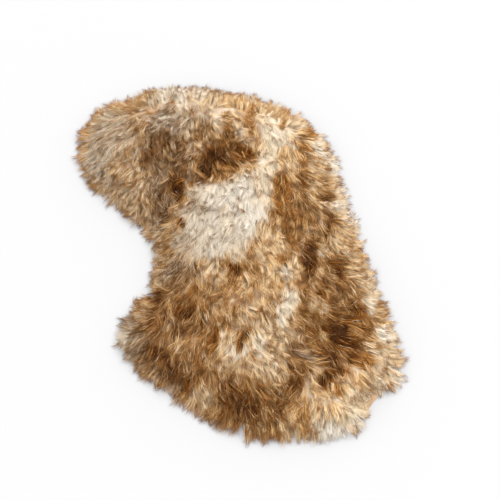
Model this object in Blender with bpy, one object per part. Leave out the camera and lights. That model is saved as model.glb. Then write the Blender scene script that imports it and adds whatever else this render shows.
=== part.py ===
# A long-woolled sheepskin rug, laid out flat on the floor: one pelt, in its two layers.
# The hide is the tanned skin, cut to the pelt's own outline. The wool stands on it as a
# slab of leaning tufts, parted in places, with two staggered tiers of locks round its rim.
# X runs across the pelt, Y from the rump to the neck, and Z up from the floor.
import math
import random
from collections import namedtuple

import bmesh
import bpy
from mathutils import Vector, geometry, noise

# Driving dimensions, in metres
HIDE_LENGTH = 1.086
HIDE_WIDTH = 0.660
HIDE_THICKNESS = 0.002
LAYER_GAP = 0.0003  # between the hide and the wool's underside
PILE_HEIGHT = 0.045  # the wool's top over the floor, in the hollows between its tufts
RIM_HEIGHT = 0.021  # the wool's top at the rim, where it turns down to the floor
SHOULDER = 0.075  # how far in from the rim the wool reaches its full height
OVERHANG = 0.006  # how far the wool's wall stands out past the hide's edge
RIM_WAVE = 0.008  # how far that wall wanders in and out
RIM_WAVE_LENGTH = 0.050
EDGE_STEP = 0.0145  # spacing of the points round the rim, and the width of a lock's root
EDGE_WOBBLE = 0.003  # the unevenness of the hide's cut edge

# Tufts of wool, each leaning the way the wool lies
TUFT_SPACING = 0.046
TUFT_RADIUS = 0.0276  # across the wool's lie, so that neighbours overlap
TUFT_RISE = 0.016
TUFT_SPREAD = 0.40  # the share by which a tuft's rise and place vary
TUFT_STRETCH = 1.35  # a tuft's length along the wool's lie, over its width
TUFT_LEAN = 0.008
RIM_TUFT_SHARE = 0.4  # how much of a tuft's rise is left where it meets the rim
TOP_STEP = 0.0172  # spacing of the points of the wool's top
TOP_JITTER = 0.003
RIM_CLEARANCE = 0.0129  # the nearest that a point of the wool's top comes to its rim

# The wool's lie: it spreads from the withers, and turns by so much for each metre
WITHERS_Y = 0.45
LIE_ACROSS = 4.0
LIE_ALONG = 2.0

# Slow swells of the whole fleece
SWELL_HEIGHT = 0.008
SWELL_LENGTH = 0.17

# Locks round the rim
LOCK_REACH = 0.042
LOCK_REACH_SPREAD = 0.35  # the share by which a lock's reach varies
LOCK_SWAY = 0.22  # how far a lock curves sideways, as a share of its reach
LOCK_LIE = 0.40  # how much a lock turns to the way the wool lies
LOCK_TIP = 0.0016

SEED = 11

# The pelt's outline as the hide is cut, counter-clockwise from above. x and y are shares
# of half the hide's width and length.
Landmark = namedtuple("Landmark", "name x y")
OUTLINE = (
    Landmark("neck", -0.14, 1.00),
    Landmark("neck_left", -0.48, 0.99),
    Landmark("left_foreleg_top", -0.79, 0.94),
    Landmark("left_foreleg_tip", -0.95, 0.77),
    Landmark("left_foreleg_foot", -0.90, 0.57),
    Landmark("left_armpit", -0.71, 0.39),
    Landmark("left_waist", -0.54, 0.18),
    Landmark("left_flank", -0.58, -0.05),
    Landmark("left_stifle", -0.82, -0.22),
    Landmark("left_hind_tip", -1.00, -0.34),
    Landmark("left_hind_foot", -0.88, -0.49),
    Landmark("left_rump", -0.61, -0.70),
    Landmark("tail_left", -0.26, -0.90),
    Landmark("tail", 0.16, -0.99),
    Landmark("right_rump", 0.51, -1.00),
    Landmark("right_hind_foot", 0.78, -0.92),
    Landmark("right_hind_tip", 0.96, -0.72),
    Landmark("right_flank", 0.94, -0.40),
    Landmark("right_waist", 0.96, -0.08),
    Landmark("right_armpit", 0.95, 0.20),
    Landmark("right_foreleg_foot", 1.00, 0.40),
    Landmark("right_foreleg_tip", 0.90, 0.59),
    Landmark("right_foreleg_top", 0.66, 0.76),
    Landmark("neck_right", 0.26, 0.91),
)

# Where the wool parts into a soft trough
Parting = namedtuple("Parting", "name start end depth width")
PARTINGS = (
    Parting("dark_whorl", (-0.010, 0.230), (0.135, 0.280), 0.014, 0.030),
    Parting("shoulder", (0.220, 0.420), (0.165, 0.140), 0.010, 0.026),
    Parting("side", (0.285, 0.260), (0.165, -0.110), 0.012, 0.032),
    Parting("neck", (-0.040, 0.270), (-0.135, 0.165), 0.011, 0.026),
    Parting("belly", (-0.080, -0.060), (0.035, -0.100), 0.010, 0.024),
    Parting("flank", (-0.200, -0.120), (-0.130, -0.195), 0.010, 0.026),
    Parting("haunch", (0.185, -0.300), (0.255, -0.390), 0.012, 0.030),
    Parting("rump", (-0.090, -0.355), (-0.100, -0.470), 0.010, 0.026),
)

# The stretch round one hind foot where the hide's edge lies bare of wool
BARE_LANDMARK = "right_hind_foot"
BARE_HALF_LENGTH = 0.060
BARE_DEPTH = 0.022
BARE_LOCK_SHARE = 0.3  # how much of its reach a lock keeps there

# A lock's sections from its root out: share of its reach, width, and the heights of its
# underside and its back. The low tier lies level on the floor, and the high tier droops
# over it.
Section = namedtuple("Section", "share width bottom top")
LOW_TIER = (
    Section(0.22, 0.0155, 0.0, 0.0098),
    Section(0.65, 0.0120, 0.0, 0.0062),
    Section(1.00, LOCK_TIP, 0.0, LOCK_TIP),
)
HIGH_TIER = (
    Section(0.35, 0.0170, 0.0110, 0.0205),
    Section(0.70, 0.0130, 0.0100, 0.0160),
    Section(1.00, LOCK_TIP, 0.0075, 0.0075 + LOCK_TIP),
)

# Colour and roughness of each layer
FINISHES = {
    "hide": ((0.62, 0.44, 0.29), 0.85),
    "wool": ((0.60, 0.41, 0.23), 0.90),
}


def clear_scene():
    for obj in list(bpy.data.objects):
        bpy.data.objects.remove(obj)


def make_material(name):
    colour, roughness = FINISHES[name]
    material = bpy.data.materials.new(name)
    material.use_nodes = True
    shader = material.node_tree.nodes["Principled BSDF"]
    shader.inputs["Base Color"].default_value = (*colour, 1.0)
    shader.inputs["Roughness"].default_value = roughness
    shader.inputs["Metallic"].default_value = 0.0
    return material


def catmull_rom(before, start, end, after, share):
    """The point at that share of the way from start to end, on a smooth curve through all four."""
    square, cube = share**2, share**3
    return 0.5 * (
        2 * start
        + (end - before) * share
        + (2 * before - 5 * start + 4 * end - after) * square
        + (3 * start - before - 3 * end + after) * cube
    )


def evenly_spaced(ring, step):
    """The closed ring again, with an even number of points about step apart."""
    lengths = [(ring[(i + 1) % len(ring)] - ring[i]).length for i in range(len(ring))]
    count = 2 * round(sum(lengths) / step / 2)
    spaced, index, passed = [], 0, 0.0
    for k in range(count):
        wanted = sum(lengths) * k / count
        while passed + lengths[index] < wanted:
            passed += lengths[index]
            index += 1
        share = (wanted - passed) / lengths[index]
        spaced.append(ring[index].lerp(ring[(index + 1) % len(ring)], share))
    return spaced


def pelt_outline():
    """A smooth ring through the landmarks, brought to the hide's length and width."""
    corners = [Vector((mark.x, mark.y)) for mark in OUTLINE]
    samples = 24
    ring = []
    for i in range(len(corners)):
        four = [corners[(i + k) % len(corners)] for k in (-1, 0, 1, 2)]
        ring += [catmull_rom(*four, k / samples) for k in range(samples)]
    for axis, size in enumerate((HIDE_WIDTH, HIDE_LENGTH)):
        low = min(point[axis] for point in ring)
        high = max(point[axis] for point in ring)
        for point in ring:
            point[axis] = size * ((point[axis] - low) / (high - low) - 0.5)
    return evenly_spaced(ring, EDGE_STEP)


def outward_normals(ring):
    normals = []
    for i in range(len(ring)):
        along = ring[(i + 1) % len(ring)] - ring[i - 1]
        normals.append(Vector((along.y, -along.x)).normalized())
    return normals


def bare_share(point):
    """1 in the middle of the bare stretch, falling to 0 at its ends."""
    mark = next(mark for mark in OUTLINE if mark.name == BARE_LANDMARK)
    middle = Vector((mark.x * HIDE_WIDTH, mark.y * HIDE_LENGTH)) / 2
    away = (point - middle).length / BARE_HALF_LENGTH
    return 0.5 + 0.5 * math.cos(math.pi * min(away, 1.0))


def wool_rim(edge):
    """The foot of the wool's wall: past the hide's edge, but drawn in along the bare stretch."""
    moved = []
    for point, normal in zip(edge, outward_normals(edge)):
        bare = bare_share(point)
        wave = RIM_WAVE * noise.noise(point.to_3d() / RIM_WAVE_LENGTH)
        moved.append(point + normal * ((OVERHANG + wave) * (1 - bare) - BARE_DEPTH * bare))
    return evenly_spaced(moved, EDGE_STEP)


def lie_of_wool(point):
    """The way the wool lies: out from the back and down to the rump, upright at the withers."""
    flow = Vector((LIE_ACROSS * point.x, LIE_ALONG * (point.y - WITHERS_Y)))
    return flow / max(flow.length, 1.0)


def lattice(step, jitter, dice):
    """Points on a jittered triangular lattice over the whole pelt."""
    row_step = step * math.sqrt(3) / 2
    rows = math.ceil(HIDE_LENGTH / 2 / row_step) + 1
    columns = math.ceil(HIDE_WIDTH / 2 / step) + 1
    points = []
    for n in range(-rows, rows + 1):
        for m in range(-columns, columns + 1):
            stray = Vector((dice.uniform(-jitter, jitter), dice.uniform(-jitter, jitter)))
            points.append(Vector(((m + n % 2 / 2) * step, n * row_step)) + stray)
    return points


def tuft_rise(point, tufts):
    """How far the nearest tufts lift the wool at a point, highest on their leaning side."""
    rise = 0.0
    for place, height in tufts:
        away = point - place
        if away.length > TUFT_SPACING:
            continue
        lie = lie_of_wool(place)
        along = away.dot(lie)
        across = (away - along * lie).length
        reach = math.hypot(along / TUFT_STRETCH, across) / TUFT_RADIUS
        rise = max(rise, height * (1 - reach**2) * (1 + along / TUFT_SPACING))
    return rise


def distance_to_segment(point, start, end):
    start, end = Vector(start), Vector(end)
    along = end - start
    share = (point - start).dot(along) / along.length_squared
    return (point - start - along * min(max(share, 0.0), 1.0)).length


def pile_height(point, inset):
    """The height of the wool's hollows at a point that lies inset from the rim."""
    dome = math.sqrt(1 - (1 - min(inset / SHOULDER, 1.0)) ** 2)
    swell = SWELL_HEIGHT * noise.noise(point.to_3d() / SWELL_LENGTH)
    trough = sum(
        row.depth * math.exp(-((distance_to_segment(point, row.start, row.end) / row.width) ** 2))
        for row in PARTINGS
    )
    return RIM_HEIGHT + dome * (PILE_HEIGHT - RIM_HEIGHT + swell - trough)


def top_points(rim, normals, tufts, dice):
    """Points (x, y, z) of the wool's top inside the rim."""
    points = []
    for place in lattice(TOP_STEP, TOP_JITTER, dice):
        nearest = min(range(len(rim)), key=lambda i: (rim[i] - place).length_squared)
        inset = (rim[nearest] - place).dot(normals[nearest])
        if inset < RIM_CLEARANCE:
            continue
        rise = tuft_rise(place, tufts)
        lean = lie_of_wool(place) * TUFT_LEAN * min(rise / TUFT_RISE, 1.0)
        lean *= min((inset - RIM_CLEARANCE) / SHOULDER, 1.0)
        height = pile_height(place, inset) + rise * min(RIM_TUFT_SHARE + inset / SHOULDER, 1.0)
        points.append((place.x + lean.x, place.y + lean.y, height))
    return points


def grow_lock(wool, face, outward, reach, sections, dice):
    """Extrudes a face of the wall into a lock of four sides that tapers through its sections."""
    sideways = Vector((-outward.y, outward.x))
    sway = dice.uniform(-LOCK_SWAY, LOCK_SWAY)
    root = face.calc_center_median().to_2d()
    for section in sections:
        face = bmesh.ops.extrude_discrete_faces(wool, faces=[face])["faces"][0]
        middle = face.calc_center_median()
        distance = reach * section.share
        centre = root + outward * distance + sideways * sway * distance * section.share
        sides = [(vert.co.to_2d() - middle.to_2d()).dot(sideways) > 0 for vert in face.verts]
        backs = [vert.co.z > middle.z for vert in face.verts]
        for vert, side, back in zip(face.verts, sides, backs):
            place = centre + sideways * section.width * (0.5 if side else -0.5)
            vert.co = (place.x, place.y, section.top if back else section.bottom)


def build_hide(edge, dice):
    """The tanned skin: a flat sheet cut a little unevenly to the outline."""
    curve = bpy.data.curves.new("hide", "CURVE")
    curve.dimensions = "2D"
    curve.fill_mode = "BOTH"
    curve.extrude = HIDE_THICKNESS / 2
    spline = curve.splines.new("POLY")
    spline.points.add(len(edge) - 1)
    spline.use_cyclic_u = True
    for corner, point, normal in zip(spline.points, edge, outward_normals(edge)):
        cut = point - normal * EDGE_WOBBLE * dice.random()
        corner.co = (cut.x, cut.y, 0.0, 1.0)
    hide = bpy.data.objects.new("hide", curve)
    hide.location.z = HIDE_THICKNESS / 2
    return hide


def build_wool(edge, dice):
    """The fleece: a slab with a triangulated lumpy top, whose wall grows the locks."""
    rim = wool_rim(edge)
    normals = outward_normals(rim)
    spread = TUFT_SPREAD / 2 * TUFT_SPACING
    tufts = [
        (place, TUFT_RISE * dice.uniform(1 - TUFT_SPREAD, 1 + TUFT_SPREAD))
        for place in lattice(TUFT_SPACING, spread, dice)
    ]
    tops = top_points(rim, normals, tufts, dice)
    flat = rim + [Vector(point[:2]) for point in tops]
    triangles = geometry.delaunay_2d_cdt(flat, [], [list(range(len(rim)))], 1, 1e-6)[2]

    # Three rings of points make the wall: its foot, the line between the tiers, and its top
    wool = bmesh.new()
    foot = HIDE_THICKNESS + LAYER_GAP
    heights = [
        [foot] * len(rim),
        [(foot + RIM_HEIGHT) / 2] * len(rim),
        [RIM_HEIGHT + RIM_TUFT_SHARE * tuft_rise(point, tufts) for point in rim],
    ]
    rings = [
        [wool.verts.new((*point, height)) for point, height in zip(rim, level)]
        for level in heights
    ]
    top = rings[2] + [wool.verts.new(point) for point in tops]
    for triangle in triangles:
        wool.faces.new([top[i] for i in triangle])
    wool.faces.new(reversed(rings[0]))

    for i in range(len(rim)):
        k = (i + 1) % len(rim)
        low, high = [
            wool.faces.new((lower[i], lower[k], upper[k], upper[i]))
            for lower, upper in zip(rings, rings[1:])
        ]
        bare = bare_share(rim[i])
        bare_reach = 1 + (BARE_LOCK_SHARE - 1) * bare
        outward = (normals[i] + normals[k] + lie_of_wool(rim[i]) * LOCK_LIE * 2).normalized()
        reach = LOCK_REACH * dice.uniform(1 - LOCK_REACH_SPREAD, 1 + LOCK_REACH_SPREAD)
        if i % 2:
            grow_lock(wool, high, outward, reach * bare_reach, HIGH_TIER, dice)
        elif bare == 0.0:
            grow_lock(wool, low, outward, reach, LOW_TIER, dice)

    mesh = bpy.data.meshes.new("wool")
    wool.to_mesh(mesh)
    wool.free()
    return bpy.data.objects.new("wool", mesh)


def centre_on_origin(objects):
    """Moves the pelt so that the origin is under the middle of its footprint."""
    bpy.context.view_layer.update()
    corners = [obj.matrix_world @ Vector(corner) for obj in objects for corner in obj.bound_box]
    for axis in (0, 1):
        values = [corner[axis] for corner in corners]
        middle = (min(values) + max(values)) / 2
        for obj in objects:
            obj.location[axis] -= middle


def main():
    clear_scene()
    dice = random.Random(SEED)
    collection = bpy.data.collections.new("sheepskin_rug")
    bpy.context.scene.collection.children.link(collection)
    edge = pelt_outline()
    layers = [build_hide(edge, dice), build_wool(edge, dice)]
    for layer in layers:
        layer.data.materials.append(make_material(layer.name))
        collection.objects.link(layer)
    centre_on_origin(layers)


main()
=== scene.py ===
# A long-woolled sheepskin rug laid out flat on a pale floor. The hide is the frame's own solid.
# The fleece that replaces the wool's solid is a felted underwool with nearly sixty thousand
# strands standing on it, in locks that follow the pelt's lie.
import math
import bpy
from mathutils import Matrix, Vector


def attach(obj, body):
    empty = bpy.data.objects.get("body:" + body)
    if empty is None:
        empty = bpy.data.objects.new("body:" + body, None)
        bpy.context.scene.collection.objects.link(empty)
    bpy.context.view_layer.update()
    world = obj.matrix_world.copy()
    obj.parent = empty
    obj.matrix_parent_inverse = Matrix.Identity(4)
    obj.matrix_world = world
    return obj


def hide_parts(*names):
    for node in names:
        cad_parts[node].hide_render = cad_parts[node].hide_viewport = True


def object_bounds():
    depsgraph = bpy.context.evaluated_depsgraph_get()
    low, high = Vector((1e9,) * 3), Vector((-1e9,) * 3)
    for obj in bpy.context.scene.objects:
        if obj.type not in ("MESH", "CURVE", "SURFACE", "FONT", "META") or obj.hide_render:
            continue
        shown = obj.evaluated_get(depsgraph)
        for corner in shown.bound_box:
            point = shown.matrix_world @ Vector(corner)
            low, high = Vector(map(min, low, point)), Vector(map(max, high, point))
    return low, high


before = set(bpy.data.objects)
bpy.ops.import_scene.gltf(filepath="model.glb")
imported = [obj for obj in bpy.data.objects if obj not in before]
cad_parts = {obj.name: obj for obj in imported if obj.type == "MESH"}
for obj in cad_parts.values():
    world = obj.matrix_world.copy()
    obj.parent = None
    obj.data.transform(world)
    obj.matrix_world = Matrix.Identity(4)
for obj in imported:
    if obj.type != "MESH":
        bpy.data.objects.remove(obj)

from types import SimpleNamespace

import bpy
import numpy as np
from mathutils import Vector, geometry, noise
from mathutils.bvhtree import BVHTree
from mathutils.kdtree import KDTree

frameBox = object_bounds()
dice = np.random.default_rng(7)
print("frame loaded")


# The studio, with the camera at the photograph's viewing angle
studio = {
    "cameraTurn": -15.5,  # degrees round from straight behind the rump
    "cameraHeight": 63.0,  # degrees over the floor
    "distance": 2.72,
    "lens": 72.0,
    "filmWidth": 36.0,
    "photoWidth": 500,
    "aim": (0.040, -0.018, 0.015),
    "floor": (0.365, 0.365, 0.37),
    "floorRoughness": 0.7,
    "floorReach": 30.0,
    "floorDrop": 0.0005,
    "lampDistance": 2.0,
    "sky": (1.0, 1.0, 1.0),
    "skyStrength": 1.92,
}
lamps = {
    # turn and height of the lamp in degrees, softness in degrees, strength, colour
    "key": (30.0, 46.0, 26.0, 2.1, (1.0, 0.975, 0.94)),
    "fill": (200.0, 40.0, 60.0, 1.0, (0.97, 0.98, 1.0)),
}


# Small helpers
ripples = {
    # how long the lumps of each soft noise are, and its layer
    "raggedAcross": (0.030, 1),
    "raggedAlong": (0.030, 2),
    "mottle": (0.018, 3),
    "speckle": (0.008, 4),
    "felt": (0.009, 5),
    "streak": (0.006, 6),
    "edgeTurn": (0.035, 10),
    "broadSwirl": (0.075, 11),
    "fineSwirl": (0.030, 12),
    "length": (0.050, 13),
    "rootRise": (0.040, 14),
    "tipRise": (0.030, 15),
}
layerStep = 7.3
rippleGain = 1.6  # brings the noise to about -1 to 1
rowShare = 0.866  # how far apart staggered rows are, in steps
tiny = 1e-6


def smooth(low, high, value):
    share = np.clip((value - low) / (high - low), 0.0, 1.0)
    return share * share * (3 - 2 * share)


def between(low, high, share):
    # From low to high as the share goes from 0 to 1
    return low + (high - low) * np.clip(share, 0.0, 1.0)


def ripple(points, name):
    # Soft noise from about -1 to 1 at points of the plan
    length, layer = ripples[name]
    height = layerStep * layer
    spots = np.asarray(points) / length
    return np.array([noise.noise((x, y, height)) for x, y in spots]) * rippleGain


def facing(angle):
    # The way that an angle in radians points in the plan
    return np.stack((np.cos(angle), np.sin(angle)), axis=-1)


def cameraAhead():
    # The way that the camera looks
    turn, height = math.radians(studio["cameraTurn"]), math.radians(studio["cameraHeight"])
    flat = math.cos(height)
    return np.array((-math.sin(turn) * flat, math.cos(turn) * flat, -math.sin(height)))


def lattice(step, jitter):
    # Jittered points in staggered rows over the frame's box
    low, high = (np.array(corner) for corner in frameBox)
    xs = np.arange(low[0], high[0], step)
    ys = np.arange(low[1], high[1], step * rowShare)
    across, along = np.meshgrid(xs, ys)
    across[1::2] += step / 2
    points = np.stack((across.ravel(), along.ravel()), axis=1)
    return points + dice.uniform(-jitter, jitter, points.shape)


# The pelt's form, read from the frame
pelt = {
    "places": 5,  # decimals that tell the solid's corners apart
    "gridStep": 0.005,
    "gridTop": 1.0,  # the wool's height is felt for from here
    "lastCell": 1.001,  # keeps a reading inside the grid
    "rimTop": 0.024,  # the wool's height over the hide's edge
    "fringe": 0.050,  # how far past that edge the wool slopes down to the floor
    "fringeCurve": 0.8,
    "fringeFoot": 0.002,  # its height at the end of the slope
    "bareMiddle": (0.228, -0.516),  # the middle of the bare stretch of the hide's edge
    "bareReach": 0.062,
    "bareFade": (1.0, 0.55),  # where it starts and where it is quite bare, in reaches
    "bareDepth": 0.026,  # how far in the wool starts there
    "bareFringe": 0.4,  # share of the fringe's reach that is left there
    "withers": (-0.03, 0.62),  # the lie spreads from here
    "lieAcross": 3.0,
    "lieAlong": 2.6,
    "lieCalm": 0.25,  # below this length the lie fades to nothing
    "sweepCalm": 0.15,
}


def hideOutline():
    # The hide's cut edge, counter-clockwise. All the solid's points are on it.
    corners = [v.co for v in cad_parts["hide"].data.vertices]
    points = {(round(at.x, pelt["places"]), round(at.y, pelt["places"])) for at in corners}
    return np.array(sorted(points, key=lambda point: math.atan2(point[1], point[0])))


def outFrom(ring):
    # The way out from each point of the ring
    along = np.roll(ring, -1, axis=0) - np.roll(ring, 1, axis=0)
    out = np.stack((along[:, 1], -along[:, 0]), axis=1)
    return out / np.linalg.norm(out, axis=1, keepdims=True)


def insetFrom(ring, points):
    # How far each point lies inside the ring, negative outside it, with the way out from there
    # and the number of the nearest stretch of the ring
    nearest = np.full(len(points), np.inf)
    inset = np.zeros(len(points))
    outward = np.zeros((len(points), 2))
    stretch = np.zeros(len(points), int)
    for index, (start, end) in enumerate(zip(ring, np.roll(ring, -1, axis=0))):
        along = end - start
        share = np.clip((points - start) @ along / (along @ along), 0.0, 1.0)
        away = points - (start + share[:, None] * along)
        distance = np.linalg.norm(away, axis=1)
        normal = np.array((along[1], -along[0])) / np.linalg.norm(along)
        closer = distance < nearest
        nearest[closer] = distance[closer]
        inset[closer] = -np.sign(away[closer] @ normal) * distance[closer]
        outward[closer] = normal
        stretch[closer] = index
    return inset, outward, stretch


def woolHeights():
    # The height of the wool's solid over a grid of the plan
    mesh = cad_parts["wool"].data
    tree = BVHTree.FromPolygons([v.co for v in mesh.vertices], [p.vertices for p in mesh.polygons])
    low, high = frameBox
    xs = np.arange(low.x, high.x, pelt["gridStep"])
    ys = np.arange(low.y, high.y, pelt["gridStep"])
    heights = np.zeros((len(ys), len(xs)))
    down = Vector((0, 0, -1))
    for row, y in enumerate(ys):
        for column, x in enumerate(xs):
            hit = tree.ray_cast(Vector((x, y, pelt["gridTop"])), down)[0]
            heights[row, column] = hit.z if hit else 0.0
    return heights


def gridRead(grid, points):
    # The grid's value at each point of the plan, between its four neighbours
    low = np.array(frameBox[0])[:2]
    place = (points - low) / pelt["gridStep"]
    place = np.clip(place, 0, np.array(grid.shape)[::-1] - pelt["lastCell"])
    corner = place.astype(int)
    share = place - corner
    column, row = corner[:, 0], corner[:, 1]
    near = between(grid[row, column], grid[row, column + 1], share[:, 0])
    far = between(grid[row + 1, column], grid[row + 1, column + 1], share[:, 0])
    return between(near, far, share[:, 1])


outline = hideOutline()
solidHeights = woolHeights()


# How bare the hide's edge is at each point, from 0 for most of the way round to 1
fromBare = np.linalg.norm(outline - pelt["bareMiddle"], axis=1)
bareShare = smooth(*pelt["bareFade"], fromBare / pelt["bareReach"])
woolRing = outline - outFrom(outline) * pelt["bareDepth"] * bareShare[:, None]


def woolCover(points):
    # The height that the wool reaches over each point, sloping to the floor past its edge
    inset, _, stretch = insetFrom(woolRing, points)
    inside = gridRead(solidHeights, points)
    fringe = pelt["fringe"] * between(1.0, pelt["bareFringe"], bareShare[stretch])
    past = np.clip(-inset / fringe, 0.0, 1.0)
    slope = pelt["rimTop"] * (1 - past) ** pelt["fringeCurve"] + pelt["fringeFoot"]
    return np.where(inset > 0.0, np.maximum(inside, pelt["rimTop"]), slope)


# Where the wool falls another way than out and down: the middle of each sweep and its reach in the
# photo's pixels, its heading in the picture in degrees from straight right, and its strength
sweeps = {
    "crownFall": (208, 115, 44, 266, 2.4),
    "neckFall": (165, 165, 36, 244, 1.2),
    "whorlFall": (243, 160, 15, 305, 1.2),
    "streakFall": (272, 145, 26, 232, 1.6),
    "ridgeFall": (316, 165, 30, 330, 1.2),
    "heartFall": (236, 200, 32, 222, 1.4),
    "heartLow": (200, 240, 28, 205, 1.2),
    "bandFall": (287, 205, 28, 240, 1.8),
    "bellyFall": (262, 290, 36, 262, 1.2),
    "hindFall": (130, 335, 36, 215, 1.4),
    "thighFall": (180, 350, 40, 250, 1.2),
    "sideFall": (345, 265, 36, 300, 1.2),
    "haunchTop": (335, 320, 28, 306, 1.4),
    "haunchFall": (372, 348, 34, 322, 1.4),
    "rumpFall": (345, 405, 32, 300, 1.4),
    "tailFall": (265, 415, 42, 262, 1.4),
}


def lieOfWool(points, inset):
    # Out from the back and down to the rump, as a heading for each point
    flow = (points - pelt["withers"]) * (pelt["lieAcross"], pelt["lieAlong"])
    flow /= np.maximum(np.linalg.norm(flow, axis=1, keepdims=True), pelt["lieCalm"])
    spots = photoPixels(points, inset)
    for x, y, reach, heading, strength in sweeps.values():
        pull = strength * np.exp(-np.sum((spots - (x, y)) ** 2, axis=1) / reach**2)
        flow += pull[:, None] * facing(math.radians(heading + studio["cameraTurn"]))
    return flow / np.maximum(np.linalg.norm(flow, axis=1, keepdims=True), pelt["sweepCalm"])


print("pelt read from the frame:", len(outline), "points round the hide")


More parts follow.
